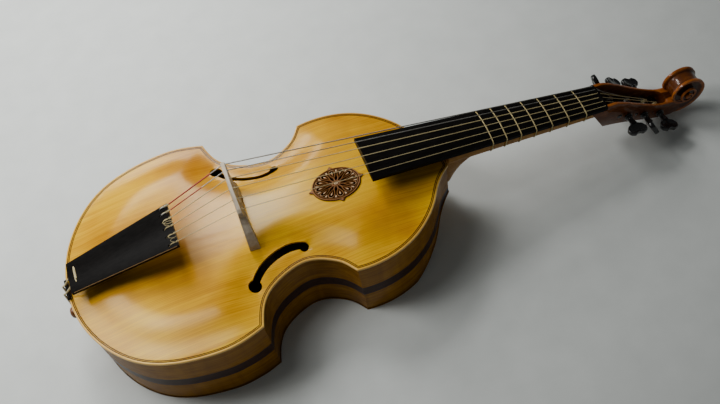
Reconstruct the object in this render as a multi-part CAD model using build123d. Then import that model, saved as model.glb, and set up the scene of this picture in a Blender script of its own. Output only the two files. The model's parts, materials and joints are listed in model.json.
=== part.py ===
from build123d import *
from functools import lru_cache
import math
import os

# A six-string bass viola da gamba lying on its flat back. Millimetres.
# Origin: on the back's flat face, on the centre line, straight below the bridge.
# +X runs from the bridge to the scroll, +Y to the bass side, +Z up out of the top.

# ---------------------------------------------------------------- driving dimensions
STRING_LENGTH = 665.0
TAIL_X = -321.0                 # tail edge of the top
NECK_X = 359.0                  # where the neck meets the body
BODY_DEPTH = 150.0              # back's outside face to the top's edge
PLATE = 4.0                     # thickness of the top
BACK = 3.5                      # thickness of the back
ARCH = 17.0                     # rise of the top above its edge
FLAT_EDGE = 9.0                 # level margin round the top's arching
ARCH_RUN = 70.0                 # distance over which the arching rises
OVERHANG = 2.0                  # top's edge past the ribs
RIB = 2.0                       # rib thickness
LINING = (4.0, 9.0)             # lining width and height
LINING_DROP = 0.2               # top linings below the ribs' upper edge
JOINT = 0.03                    # clearance under the top's wavy margin

# half-widths of the body along its length, one curve for each bout
LOWER_CORNER = (-28.5, 196.6)
UPPER_CORNER = (143.7, 163.2)
NECK_EDGE_Y = 35.0
LOWER_BOUT = [(-296.0, 104.0), (-219.0, 185.5), (-117.0, 211.0)]
WAIST = [(-7.0, 146.5), (36.0, 118.8), (79.0, 112.8), (121.0, 134.0)]
UPPER_BOUT = [(191.0, 164.0), (259.0, 141.0), (312.0, 91.0)]

# the back turns up towards the neck at the fold
FOLD_X = 246.0
HEEL_Z = 66.0

# dark band let into the ribs
BAND_Z = (56.0, 81.0)
BAND = 0.9

# sound holes: centre line of the arm and the radius of each round end
HOLE_PATH = [(-20.0, 121.0), (-10.0, 108.0), (5.0, 95.0), (29.0, 84.0), (56.0, 79.5), (76.0, 84.0)]
HOLE_WIDTH = 12.0
HOLE_LOW_END = (-21.0, 124.0, 11.0)
HOLE_HIGH_END = (77.0, 86.5, 8.0)

# rosette: an oval made from a round pattern stretched along X
ROSE_X = 167.0
ROSE_R = 33.0
ROSE_STRETCH = 1.32
ROSE_PETALS = 12

# strings, treble to bass: diameter, and height above the origin at bridge and nut
STRING_DIAMETER = [0.9, 1.1, 1.3, 1.5, 1.6, 2.0]
BRIDGE_Y = [-48.0, -30.0, -10.5, 10.5, 30.0, 48.0]
BRIDGE_Z = [265.2, 271.0, 274.5, 274.5, 271.0, 265.2]
NUT_Y = [-24.9, -14.9, -5.0, 5.0, 14.9, 24.9]
NUT_Z = [133.4, 134.9, 135.6, 135.6, 134.9, 133.4]
TAIL_Y = [-37.0, -22.5, -7.5, 7.5, 22.5, 37.0]

# fingerboard: X, height of its upper corners, half-width and crown at each end
BOARD_END = (222.5, 208.6, 46.4, 7.0)
BOARD_NUT = (665.0, 130.0, 29.2, 3.0)
BOARD_SIDE = 6.5                # height of its sides
NUT_LENGTH = 6.0
NUT_SHAPE = (28.5, 2.2, 6.4)    # half-width, and rise above the board at its ends and middle
NECK_DEPTH = (16.0, 24.0)       # neck below the fingerboard at the nut and at the heel
NECK_RUN = 232.0                # length of the neck's free shaft
FRETS = 7
FRET = 1.1                      # gut thickness
FRET_GAP = 0.3                  # room round the neck so that a fret can slide

# tailpiece: X, height of its upper corners, half-width and crown at each end
TAIL_BOTTOM = (-304.0, 184.0, 29.5, 4.0)
TAIL_TOP = (-110.0, 226.0, 43.5, 7.0)
TAIL_SIDE = 7.0
SADDLE = (6.0, 18.0, 157.0)     # length, half-width, height of its top
BUTTON_Z = 82.0
BUTTON_SHAFT = 4.5              # radius in its hole
GUT = 1.6                       # tailgut radius

WINDING_R = 7.6                 # string wound on a peg
WINDING_Y = [-12.5, -8.5, -4.0, 4.0, 9.0, 13.0]

# pegbox and pegs
HEAD_HALF = (29.0, 19.0)        # half-width at the nut and at the scroll
HEAD_X = (640.0, 806.0)
HEAD_FRONT = [(640.0, 127.4), (668.0, 74.0)]    # the slanting face that meets the neck
SCROLL = (845.0, 64.0, 41.0)    # X, Z and radius
CAVITY_HALF = (22.5, 10.5)      # half-width of the string box at its two ends
CAVITY_X = (673.0, 806.0)
PEG_START = (700.0, 87.0)       # hole of the first peg, on the bass side
PEG_STEP = (18.2, -8.9)         # from one hole to the next, sides in turn
PEG_R = (6.2, 5.2)              # shaft radius under the thumb-piece and at the far end
PEG_FIT = 0.05                  # clearance of a shaft in its hole
LOBE_R, LOBE_SHIFT = 10.5, 8.6  # the two lobes of a thumb-piece
THUMB_HALF = 4.6                # half its thickness
SCOOP_R = 38.0                  # hollow of its faces
PEG_TURN = [20.0, 75.0, 5.0, 12.0, 25.0, 60.0]   # rest angle of each thumb-piece, strings 1 to 6

os.makedirs("parts", exist_ok=True)


def save(name, *solids):
    """Write one named sub-part."""
    flat = [s for item in solids for s in item.solids()]
    shape = flat[0] if len(flat) == 1 else Compound(children=flat)
    shape.label = name
    export_step(shape, f"parts/{name}.step")


def lerp(a, b, t):
    return a + (b - a) * t


# ---------------------------------------------------------------- body outline
def half_outline():
    lower = Spline((TAIL_X, 0), *LOWER_BOUT, LOWER_CORNER, tangents=[(0, 1), (1, -0.36)])
    waist = Spline(LOWER_CORNER, *WAIST, UPPER_CORNER, tangents=[(0.25, -1), (0.55, 0.83)])
    upper = Spline(UPPER_CORNER, *UPPER_BOUT, (NECK_X, NECK_EDGE_Y), tangents=[(1, 0.16), (0.8, -0.6)])
    return [lower, waist, upper]


def moved_in(edge, amount):
    """Points along an edge of the +Y half, moved square to it towards the inside."""
    points = []
    for i in range(121):
        place, along = edge @ (i / 120), edge % (i / 120)
        points.append((place.X + along.Y * amount, place.Y - along.X * amount))
    return points


def crossing(a, b, c, d):
    """Where segment a-b crosses segment c-d, or None."""
    ux, uy, vx, vy = b[0] - a[0], b[1] - a[1], d[0] - c[0], d[1] - c[1]
    area = ux * vy - uy * vx
    if abs(area) < 1e-12:
        return None
    s = ((c[0] - a[0]) * vy - (c[1] - a[1]) * vx) / area
    t = ((c[0] - a[0]) * uy - (c[1] - a[1]) * ux) / area
    return (a[0] + s * ux, a[1] + s * uy) if 0 <= s <= 1 and 0 <= t <= 1 else None


def trimmed(first, second):
    """Two neighbouring curves, cut where they cross beside a corner."""
    for i in range(len(first) - 1, 0, -1):
        for j in range(len(second) - 1):
            place = crossing(first[i - 1], first[i], second[j], second[j + 1])
            if place:
                return first[:i] + [place], [place] + second[j + 1:]
    return first, second


def smooth(points):
    """A spline through about a dozen of the points, with their end directions."""
    step = max(1, len(points) // 12)
    chosen = points[:-step:step] + [points[-1]]
    start = (points[1][0] - points[0][0], points[1][1] - points[0][1])
    end = (points[-1][0] - points[-2][0], points[-1][1] - points[-2][1])
    return Spline(*chosen, tangents=[start, end])


@lru_cache
def inset_half(amount):
    """The three curves of the +Y half, moved inwards."""
    if amount == 0:
        return half_outline()
    lower, waist, upper = [moved_in(edge, amount) for edge in half_outline()]
    lower, waist = trimmed(lower, waist)
    waist, upper = trimmed(waist, upper)
    limit = NECK_X - amount
    inside = [p for p in upper if p[0] < limit - 1]
    x, y = inside[-1]
    nx, ny = upper[len(inside)]
    inside.append((limit, y + (ny - y) * (limit - x) / (nx - x)))
    return [smooth(lower), smooth(waist), smooth(inside)]


@lru_cache
def inset_face(amount):
    """The body's outline, moved inwards."""
    half = inset_half(amount)
    end = half[-1] @ 1
    closing = Line((end.X, end.Y), (end.X, -end.Y))
    return make_face(half + [edge.mirror(Plane.XZ) for edge in half] + [closing])


def prism(face, low, high):
    return extrude(Pos(0, 0, low) * face, amount=high - low, dir=(0, 0, 1))


def ring(outer, inner, low, high):
    return prism(inset_face(outer), low, high) - prism(inset_face(inner), low - 1, high + 1)


def side_block(points, half_width):
    """A solid with the given X-Z outline, centred on Y."""
    face = make_face(Polyline(*[(x, 0, z) for x, z in points], close=True))
    return extrude(face, amount=half_width, both=True, dir=(0, 1, 0))


def slope_z(x, lift):
    """Height of the turned-up back's lower face at X, plus a lift."""
    return lift + max(0.0, (x - FOLD_X) * HEEL_Z / (NECK_X - FOLD_X))


def inside_body(lift, top=BODY_DEPTH - PLATE):
    """Everything between the back, lifted off its lower face, and the top's level."""
    end = NECK_X + 20
    return side_block([(TAIL_X - 20, lift), (FOLD_X, lift), (end, slope_z(end, lift)), (end, top),
                       (TAIL_X - 20, top)], 260)


# ---------------------------------------------------------------- arched top
def edge_points():
    """Points along the outline, for measuring how far inside it a place lies."""
    points = [(NECK_X, NECK_EDGE_Y * i / 12) for i in range(12)]
    for edge in half_outline():
        places = [edge @ (i / 60) for i in range(61)]
        points += [(p.X, p.Y) for p in places]
    return points


EDGE = edge_points()


def inside_width(x):
    """Half-width of the body at X."""
    near = min(EDGE, key=lambda p: abs(p[0] - x))
    return near[1]


def arch_z(x, y):
    """Height of the top's outside face."""
    y = abs(y)
    if x < TAIL_X or x > NECK_X or y > inside_width(x):
        return BODY_DEPTH
    distance = min(math.hypot(x - px, y - py) for px, py in EDGE)
    rise = min(1.0, max(0.0, (distance - FLAT_EDGE) / ARCH_RUN))
    rise = rise * rise * (3 - 2 * rise)
    dome = 1 - 0.32 * ((x - 20) / 340) ** 2 - 0.3 * (y / 200) ** 2
    return BODY_DEPTH + ARCH * rise * dome


@lru_cache
def arch_sheet(thickness):
    """A sheet of even thickness under the top's outside face."""
    rows = [-220 + 20 * j for j in range(23)]
    sections = []
    for i in range(25):
        x = TAIL_X - 8 + 29 * i
        upper = [(x, y, arch_z(x, y)) for y in rows]
        lower = [(x, y, z - thickness) for x, y, z in reversed(upper)]
        sections.append(make_face([Spline(*upper), Line(upper[-1], lower[0]), Spline(*lower),
                                   Line(lower[-1], upper[0])]))
    return loft(sections)


def arch_slab(lift, thickness):
    """The same sheet, lifted off the top's face."""
    return Pos(0, 0, lift) * arch_sheet(thickness)


def sound_hole():
    line = Spline(*HOLE_PATH)
    shape = trace(line, HOLE_WIDTH)
    for x, y, radius in (HOLE_LOW_END, HOLE_HIGH_END):
        shape += Pos(x, y) * Circle(radius)
    return shape


def oval(radius):
    return Pos(ROSE_X, 0) * Ellipse(radius * ROSE_STRETCH, radius)


def purfling(inner_offset):
    return ring(inner_offset, inner_offset + 0.9, BODY_DEPTH - 1.2, BODY_DEPTH + 2)


def make_top(lines):
    top = prism(inset_face(0), BODY_DEPTH - 10, BODY_DEPTH + 30) & arch_slab(0, PLATE)
    hole = extrude(Pos(0, 0, BODY_DEPTH - 20) * sound_hole(), amount=60)
    top = top - hole - hole.mirror(Plane.XZ) - prism(oval(ROSE_R - 2), BODY_DEPTH - 20, BODY_DEPTH + 40)
    for line in lines:
        top = top - line
    return top


def make_rosette():
    """Openwork rosette: border, radiating petals and a hub."""
    pattern = Circle(ROSE_R) - Circle(ROSE_R - 4.5)
    for i in range(ROSE_PETALS):
        angle = 360 * i / ROSE_PETALS
        petal = Ellipse(9.0, 5.2) - Ellipse(6.4, 2.8)
        pattern += Rot(0, 0, angle) * Pos(20.2, 0) * petal
        pattern += Rot(0, 0, angle) * Pos(7.0, 0) * Rectangle(9.0, 1.6)
    pattern += Circle(4.0)
    for angle in (0, 90, 180, 270):
        tip = Polyline((ROSE_R - 2, 5.5), (ROSE_R + 5.5, 0), (ROSE_R - 2, -5.5), close=True)
        pattern += Rot(0, 0, angle) * make_face(tip)
    inner = pattern & Circle(ROSE_R - 2.3)
    plate = extrude(pattern, amount=1.3) + Pos(0, 0, -3) * extrude(inner, amount=3)
    plate = scale(plate, by=(ROSE_STRETCH, 1, 1))
    fall = math.degrees(math.atan2(arch_z(ROSE_X - 40, 0) - arch_z(ROSE_X + 40, 0), 80))
    return Pos(ROSE_X, 0, arch_z(ROSE_X, 0) + 0.05) * Rot(0, fall, 0) * plate


# ---------------------------------------------------------------- body parts
def split_six(solid):
    """Cut a ring of the body at its four corners, and at the centre line."""
    low, high = LOWER_CORNER[0], UPPER_CORNER[0]
    spans = {"lower": (-400, low), "waist": (low, high), "upper": (high, 400)}
    pieces = {}
    for bout, (start, end) in spans.items():
        for side, sign in (("treble", -1), ("bass", 1)):
            box = Pos((start + end) / 2, sign * 150, 80) * Box(end - start - 0.02, 299.98, 400)
            pieces[f"{bout}_{side}"] = solid & box
    return pieces


def make_body():
    outer, inner = OVERHANG, OVERHANG + RIB
    under_top = BODY_DEPTH - PLATE
    space = inside_body(BACK)
    band = ring(outer, outer + BAND, *BAND_Z) & space
    button_hole = Pos(TAIL_X + 20, 0, BUTTON_Z) * Rot(0, 90, 0) * Cylinder(BUTTON_SHAFT, 60)
    under_arch = arch_slab(0, PLATE + JOINT)
    ribs = (ring(outer, inner, 0, under_top) & space) - band - button_hole - under_arch
    for name, piece in split_six(ribs).items():
        save(f"rib_{name}", piece)
    save("rib_bands", *split_six(band - button_hole).values())

    lines = [purfling(4.0), purfling(6.2)]
    top = make_top(lines)
    save("top_plate", top)
    save("purfling", *[line & prism(inset_face(0), 0, BODY_DEPTH + 0.05) for line in lines])
    save("rosette", make_rosette())

    plate = prism(inset_face(1.0), -1, 140)
    flat = side_block([(TAIL_X - 5, 0), (FOLD_X, 0), (FOLD_X, BACK), (TAIL_X - 5, BACK)], 260)
    end = NECK_X + 10
    turned = side_block([(FOLD_X, 0), (end, slope_z(end, 0)), (end, slope_z(end, BACK)), (FOLD_X, BACK)], 260)
    save("back_lower", plate & flat)
    save("back_upper", plate & turned)

    width, height = LINING
    rim = ring(inner, inner + width, 0, 200)
    upper_rim = ring(inner, inner + width, under_top - height, under_top - LINING_DROP)
    save("lining_top", (upper_rim & inside_body(BACK)) - under_arch)
    save("lining_back", (rim & inside_body(BACK)) - inside_body(BACK + height, 300))
    core = prism(inset_face(inner + width), 0, under_top - 0.1) & inside_body(BACK)
    save("tail_block", core & (Pos(TAIL_X + 22, 0, 75) * Box(32, 90, 160)) - button_hole)
    save("neck_block", core & (Pos(NECK_X - 26, 0, 100) * Box(44, 84, 160)))
    corners = []
    for x, y in (LOWER_CORNER, UPPER_CORNER):
        for sign in (1, -1):
            corners.append(core & (Pos(x, sign * (y - 12), 75) * Box(44, 34, 160)))
    save("corner_blocks", *corners)

    inner_face = arch_slab(-PLATE, 60)
    bar = side_block([(-175, 132), (-160, 128), (120, 128), (135, 132), (135, 170), (-175, 170)], 3.5)
    save("bass_bar", (Pos(0, 36, 0) * bar) & inner_face)
    post = Pos(-14, -38, 80) * Cylinder(6.5, 200)
    save("sound_post", (post & inside_body(BACK + 6, 300)) - arch_above())
    save("post_plate", (Pos(-14, 0, BACK + 3) * Box(70, 215, 6)) & core)
    braces = [Pos(x, 0, BACK + 6) * Box(16, 330, 12) for x in (-190, 195)]
    save("back_braces", *[brace & core for brace in braces])


def arch_above():
    """Everything from the top's inner face upwards."""
    return arch_slab(60, 60 + PLATE)


# ---------------------------------------------------------------- neck, fingerboard, frets
def board_at(x):
    """Corner height, half-width and crown of the fingerboard at X."""
    t = (x - BOARD_NUT[0]) / (BOARD_END[0] - BOARD_NUT[0])
    return [lerp(a, b, t) for a, b in zip(BOARD_NUT[1:], BOARD_END[1:])]


SLOPE = math.degrees(math.atan2(BOARD_END[1] - BOARD_NUT[1], BOARD_NUT[0] - BOARD_END[0]))


def cross_plane(x, z):
    """A plane square to the fingerboard, its X along the body's Y."""
    normal = Vector(-1, 0, 0).rotate(Axis.Y, SLOPE)
    return Plane(origin=(x, 0, z), x_dir=(0, -1, 0), z_dir=normal)


def board_section(x):
    z, half, crown = board_at(x)
    top = ThreePointArc((-half, 0), (0, crown), (half, 0))
    rest = Polyline((half, 0), (half, -BOARD_SIDE), (-half, -BOARD_SIDE), (-half, 0))
    return cross_plane(x, z) * make_face([top, rest])


def neck_depth(x):
    t = (BOARD_NUT[0] - x) / NECK_RUN
    return lerp(NECK_DEPTH[0], NECK_DEPTH[1], t)


def neck_curve(half, depth):
    """The rounded back of the neck, seen square to the fingerboard."""
    shoulder = -BOARD_SIDE - depth * 0.72
    return Spline((-half, -BOARD_SIDE), (-half * 0.72, shoulder), (0, -BOARD_SIDE - depth),
                  (half * 0.72, shoulder), (half, -BOARD_SIDE), tangents=[(0, -1), (0, 1)])


def neck_section(x):
    z, half, _ = board_at(x)
    half -= 0.4
    closing = Line((half, -BOARD_SIDE), (-half, -BOARD_SIDE))
    return cross_plane(x, z) * make_face([neck_curve(half, neck_depth(x)), closing])


def make_fingerboard():
    return loft([board_section(BOARD_NUT[0]), board_section(BOARD_END[0])])


def rounded(x0, x1, half, z):
    """A level section of the heel: square at the body, round towards the neck."""
    radius = min(half, x1 - x0) * 0.8
    face = Pos((x0 + x1) / 2, 0, z) * Rectangle(x1 - x0, 2 * half)
    return fillet(face.vertices().group_by(Axis.X)[-1], radius)


def make_neck():
    heel_end = BOARD_NUT[0] - NECK_RUN
    shaft = loft([neck_section(BOARD_NUT[0] - 8), neck_section(heel_end)])
    inner_end = loft([neck_section(heel_end), neck_section(NECK_X - 6)])
    heel = loft([rounded(NECK_X, NECK_X + 15, 14, HEEL_Z), rounded(NECK_X, NECK_X + 24, 19, 90),
                 rounded(NECK_X, NECK_X + 40, 26, 120), rounded(NECK_X, NECK_X + 72, 32, 148)])
    heel += extrude(rounded(NECK_X, NECK_X + 72, 32, 148), amount=40)
    under = BOARD_SIDE / math.cos(math.radians(SLOPE))
    near, far = NECK_X - 20, NECK_X + 120
    cover = side_block([(near, board_at(near)[0] - under), (far, board_at(far)[0] - under),
                        (far, 260), (near, 260)], 80)
    body_side = Pos(NECK_X - 50, 0, 100) * Box(100, 200, 300)
    graft = side_block([HEAD_FRONT[0], HEAD_FRONT[1], (740, 74), (740, 160), (HEAD_FRONT[0][0], 160)], 60)
    return (shaft - graft) + (inner_end + (heel - cover) - body_side)


def neck_loop(x, room):
    """Outline round the neck and fingerboard together, with room all round."""
    _, half, crown = board_at(x)
    half += room
    top = ThreePointArc((-half, room), (0, crown + room), (half, room))
    return make_face([top, Line((half, room), (half, -BOARD_SIDE)), neck_curve(half, neck_depth(x) + room),
                      Line((-half, -BOARD_SIDE), (-half, room))])


def make_fret(index):
    """A gut loop tied round the neck and fingerboard, one semitone above the last."""
    x = STRING_LENGTH * 2 ** (-index / 12)
    band = neck_loop(x, FRET_GAP + FRET) - neck_loop(x, FRET_GAP)
    return extrude(cross_plane(x, board_at(x)[0]) * band, amount=FRET / 2, both=True)


# ---------------------------------------------------------------- strings and their fittings
def tube(points, radius):
    """Straight runs joined by round knees."""
    runs = []
    for a, b in zip(points, points[1:]):
        a, b = Vector(*a), Vector(*b)
        plane = Plane(origin=a, z_dir=b - a)
        runs.append(extrude(plane * Circle(radius), amount=(b - a).length))
    for p in points[1:-1]:
        runs.append(Pos(*p) * Sphere(radius))
    result = runs[0]
    for run in runs[1:]:
        result += run
    return result


def peg_of(index):
    """Peg for string index 0 to 5: hole X, hole Z and the side of its head."""
    treble = index < 3
    step = 2 * index + 1 if treble else 2 * (5 - index)
    return (PEG_START[0] + PEG_STEP[0] * step, PEG_START[1] + PEG_STEP[1] * step, -1 if treble else 1)


def tail_point(x, y):
    """A place on the tailpiece's upper face."""
    t = (x - TAIL_BOTTOM[0]) / (TAIL_TOP[0] - TAIL_BOTTOM[0])
    z, half, crown = [lerp(a, b, t) for a, b in zip(TAIL_BOTTOM[1:], TAIL_TOP[1:])]
    return z + crown * (1 - (y / half) ** 2)


def string_route(index):
    radius = STRING_DIAMETER[index] / 2
    px, pz, _ = peg_of(index)
    nut = Vector(BOARD_NUT[0] + NUT_LENGTH / 2, NUT_Y[index], NUT_Z[index])
    centre = Vector(px, WINDING_Y[index], pz)
    reach = WINDING_R + radius + 0.35
    flat = math.hypot(px - nut.X, pz - nut.Z)
    lean = math.atan2(pz - nut.Z, px - nut.X) + math.asin(reach / flat)
    run = math.sqrt(flat ** 2 - reach ** 2)
    last = (nut.X + run * math.cos(lean), WINDING_Y[index], nut.Z + run * math.sin(lean))
    y = TAIL_Y[index]
    lift = radius + 0.6
    return [(-126, y, tail_point(-126, y) - 3), (-122, y, tail_point(-122, y) + lift),
            (-108, y, tail_point(-110, y) + lift), (0, BRIDGE_Y[index], BRIDGE_Z[index]),
            (BOARD_NUT[0], NUT_Y[index], NUT_Z[index]), tuple(nut), last]


def make_string(index):
    return tube(string_route(index), STRING_DIAMETER[index] / 2)


def make_bridge(grooves):
    """Carved bridge: two feet, an arched opening, side cut-outs and a crowned top."""
    half = [(0, 277.5), (14, 277.3), (31, 273.6), (49, 267.6), (54, 263.5), (54.5, 256), (47, 247), (39, 238),
            (38, 226), (44, 214), (54, 202), (60, 188), (64, 176), (66, 158), (43, 158), (41, 172),
            (34, 186), (20, 195), (0, 198)]
    left = [(-y, z) for y, z in reversed(half[1:-1])]
    outline = Polyline(*[(0, y, z) for y, z in half + left], close=True)
    blank = extrude(make_face(outline), amount=9, both=True, dir=(1, 0, 0))
    wedge = make_face(Polyline((-9, 0, 150), (-9, 0, 168), (-2.4, 0, 280), (2.4, 0, 280), (9, 0, 168),
                               (9, 0, 150), close=True))
    bridge = blank & extrude(wedge, amount=80, both=True, dir=(0, 1, 0))
    heart = Plane.YZ * (Pos(0, 232) * Circle(9))
    slots = Plane.YZ * (Pos(23, 240) * Circle(6.5) + Pos(-23, 240) * Circle(6.5)
                        + Pos(27, 216) * Ellipse(6, 11) + Pos(-27, 216) * Ellipse(6, 11))
    bridge = bridge - extrude(heart + slots, amount=20, both=True)
    for groove in grooves:
        bridge -= groove
    return bridge - arch_slab(0.02, 40)


def tail_section(data):
    x, z, half, crown = data
    top = ThreePointArc((x, -half, z), (x, 0, z + crown), (x, half, z))
    rest = Polyline((x, half, z), (x, half, z - TAIL_SIDE), (x, -half, z - TAIL_SIDE), (x, -half, z))
    return make_face([top, rest])


def make_tailpiece(holes):
    piece = loft([tail_section(TAIL_BOTTOM), tail_section(TAIL_TOP)])
    for index in range(6):
        y = TAIL_Y[index]
        piece -= Pos(-126, y, 220) * Cylinder(1.6, 60)
    for cutter in holes:
        piece -= cutter
    return piece


def make_tailgut():
    x0 = TAIL_BOTTOM[0]
    top = tail_point(x0 + 14, 10) + GUT
    low = TAIL_BOTTOM[1] - TAIL_SIDE - GUT - 1
    over = SADDLE[2] + GUT
    strands = []
    for sign in (1, -1):
        strands.append([(x0 + 14, sign * 10, top), (x0 + 13, sign * 10, low), (x0 - 2, sign * 9, low - 1),
                        (TAIL_X + 2, sign * 8, over), (TAIL_X - 3.5, sign * 8, over - 3),
                        (TAIL_X - 7, sign * 7.5, BUTTON_Z)])
    route = list(reversed(strands[0])) + strands[1]
    return tube(route, GUT)


def make_end_button():
    x = TAIL_X + OVERHANG
    shaft = Pos(x + 6, 0, BUTTON_Z) * Rot(0, 90, 0) * Cylinder(BUTTON_SHAFT, 30)
    neck = Pos(x - 7, 0, BUTTON_Z) * Rot(0, 90, 0) * Cylinder(5.6, 14)
    head = Pos(x - 18, 0, BUTTON_Z) * Rot(0, 90, 0) * Cylinder(11, 10)
    head = fillet(head.edges().filter_by(GeomType.CIRCLE), 3.5)
    collar = Pos(x - 1.6, 0, BUTTON_Z) * Rot(0, 90, 0) * Cylinder(8.5, 3)
    return shaft + neck + head + collar


def make_nut(grooves):
    x = BOARD_NUT[0]
    z = BOARD_NUT[1]
    half, shoulder, crown = NUT_SHAPE
    left, right = (x, -half, z + shoulder), (x, half, z + shoulder)
    top = ThreePointArc(left, (x, 0, z + crown), right)
    rest = Polyline(right, (x, half, z - BOARD_SIDE), (x, -half, z - BOARD_SIDE), left)
    nut = extrude(make_face([top, rest]), amount=NUT_LENGTH, dir=(1, 0, 0))
    nut = nut - make_fingerboard()
    for groove in grooves:
        nut -= groove
    return nut


# ---------------------------------------------------------------- pegbox, scroll and pegs
def head_half(x):
    t = min(1.0, max(0.0, (x - HEAD_X[0] - 20) / (HEAD_X[1] - HEAD_X[0] - 20)))
    return lerp(HEAD_HALF[0], HEAD_HALF[1], t)


def head_profile():
    """The head seen from the side, from under the nut round to the scroll."""
    board_under = BOARD_NUT[1] - BOARD_SIDE
    top = Spline((671.2, 0, 133), (692, 0, 131), (714, 0, 117), (741, 0, 96), (768, 0, 76), (795, 0, 59),
                 (812, 0, 58), tangents=[(1, 0, 0.15), (1, 0, 0.6)])
    under = Spline((668, 0, 74), (715, 0, 57), (760, 0, 37), (798, 0, 19), (824, 0, 14), (852, 0, 22),
                   (845, 0, 40), tangents=[(1, 0, -0.35), (-0.6, 0, 0.8)])
    front = Polyline((668, 0, 74), (HEAD_FRONT[0][0], 0, HEAD_FRONT[0][1]), (671.2, 0, board_under - 1.6),
                     (671.2, 0, 133))
    back = Line((812, 0, 58), (845, 0, 40))
    return make_face([top, under, front, back])


def make_scroll():
    cx, cz, radius = SCROLL
    half = HEAD_HALF[1]
    disc = Pos(cx, 0, cz) * Rot(90, 0, 0) * Cylinder(radius, 2 * half)
    flute = Pos(cx, 0, cz) * (Rot(90, 0, 0) * Torus(radius + 9, 15))
    scroll = disc - flute
    for sign in (1, -1):
        for r, reach in ((27, 22.5), (15, 25.5), (7.5, 28.5)):
            scroll += Pos(cx, sign * reach / 2, cz) * Rot(90, 0, 0) * Cylinder(r, reach)
    return scroll


def cheek_prism(half_widths, xs, low, high):
    """A tapering block seen from above, between two heights."""
    (start, end), (wide, narrow) = xs, half_widths
    outline = Polyline((start, -wide), (end, -narrow), (end, narrow), (start, wide), close=True)
    return extrude(Pos(0, 0, low) * make_face(outline), amount=high - low)


def peg_cone(index, extra, start, end):
    """A tapered shaft from one side of the head to the other."""
    x, z, side = peg_of(index)
    length = end - start
    r0 = lerp(PEG_R[0], PEG_R[1], (30 - end) / 60) + extra
    r1 = lerp(PEG_R[0], PEG_R[1], (30 - start) / 60) + extra
    cone = Cone(r1, r0, length)
    return Pos(x, side * (start + end) / 2, z) * Rot(-90 * side, 0, 0) * cone


def make_head():
    profile = extrude(head_profile(), amount=40, both=True, dir=(0, 1, 0))
    taper = cheek_prism((HEAD_HALF[0], HEAD_HALF[0]), (600, 662), 0, 160)
    taper += cheek_prism(HEAD_HALF, (662, 806), 0, 160)
    taper += cheek_prism((HEAD_HALF[1], HEAD_HALF[1]), (806, 900), 0, 160)
    head = (profile & taper) + make_scroll()
    start = CAVITY_X[0]
    open_space = [(start, 106), (690, 80), (740, 56), (800, 30), (812, 38), (812, 200), (start, 200)]
    cavity = cheek_prism(CAVITY_HALF, CAVITY_X, 20, 200) & side_block(open_space, 60)
    cavity = fillet(cavity.edges().filter_by(Axis.Z).group_by(Axis.X)[-1], 5)
    head = head - cavity
    for index in range(6):
        head -= peg_cone(index, PEG_FIT, -40, 34)
        head -= tube(string_route(index)[4:], STRING_DIAMETER[index] / 2 + 0.3)
    return head


def make_peg(index):
    """Shaft, turned collar and a scooped thumb-piece."""
    x, z, side = peg_of(index)
    reach = head_half(x)
    parts = peg_cone(index, 0, -reach - 1.5, reach + 6)

    def along(y):
        return Pos(x, side * y, z)

    across = Rot(90, 0, 0)
    parts += along(reach + 4.5) * across * Cylinder(8.0, 2.6)
    neck = Plane(origin=(x, side * (reach + 5), z), z_dir=(0, side, 0))
    parts += loft([neck * Circle(5.8), neck.offset(9) * Circle(5.0), neck.offset(18) * Circle(6.2)])
    blade = Pos(LOBE_SHIFT, 0) * Circle(LOBE_R) + Pos(-LOBE_SHIFT, 0) * Circle(LOBE_R)
    blade += Pos(0, -7) * Rectangle(18, 16) + Pos(0, -15.5) * Circle(6.2)
    blade -= Pos(0, 13.5) * Circle(4.6)
    thumb = extrude(blade, amount=THUMB_HALF, both=True)
    scoop = Pos(0, 1, SCOOP_R + 2) * Sphere(SCOOP_R) + Pos(0, 1, -SCOOP_R - 2) * Sphere(SCOOP_R)
    thumb = thumb - scoop
    thumb = Plane(origin=(x, side * (reach + 35), z), x_dir=(1, 0, 0), z_dir=(0, 0, side)) * thumb
    parts += thumb
    turn = PEG_TURN[index]
    axis = Axis((x, 0, z), (0, 1, 0))
    return parts.rotate(axis, turn)


def make_winding(index):
    x, z, _ = peg_of(index)
    coil = Pos(x, WINDING_Y[index], z) * Rot(90, 0, 0) * Cylinder(WINDING_R, 7)
    return coil - peg_cone(index, 0, -40, 40)


# ---------------------------------------------------------------- writing the sub-parts
def make_set_up():
    strings = [make_string(i) for i in range(6)]
    grooves = [tube(string_route(i)[2:], STRING_DIAMETER[i] / 2 + 0.02) for i in range(6)]
    gut = make_tailgut()
    saddle_length, saddle_half, saddle_top = SADDLE
    saddle = Pos(TAIL_X + saddle_length / 2 + 0.01, 0, (saddle_top + 151) / 2) * Box(
        saddle_length, 2 * saddle_half, saddle_top - 149.9)
    saddle = fillet(saddle.edges().filter_by(Axis.Y).group_by(Axis.Z)[-1], 2)
    save("saddle", saddle - arch_slab(0.01, 10) - gut)
    save("tailgut", gut)
    save("end_button", make_end_button())
    save("tailpiece", make_tailpiece([gut] + strings))
    save("bridge", make_bridge(grooves))
    save("nut", make_nut(grooves))
    for index, string in enumerate(strings):
        save(f"string_{index + 1}", string)


def make_neck_group():
    save("fingerboard", make_fingerboard())
    save("neck", make_neck())
    for index in range(1, FRETS + 1):
        save(f"fret_{index}", make_fret(index))


def make_head_group():
    save("pegbox_scroll", make_head())
    for index in range(6):
        save(f"peg_{index + 1}", make_peg(index))
        save(f"winding_{index + 1}", make_winding(index))


make_body()
make_set_up()
make_neck_group()
make_head_group()
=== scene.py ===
"""A six-string bass viola da gamba lying on its back: the looks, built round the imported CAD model.

Metres, in the CAD's own frame: +X to the scroll, +Y to the bass side, +Z up out of the top.
"""
import json
import math

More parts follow.
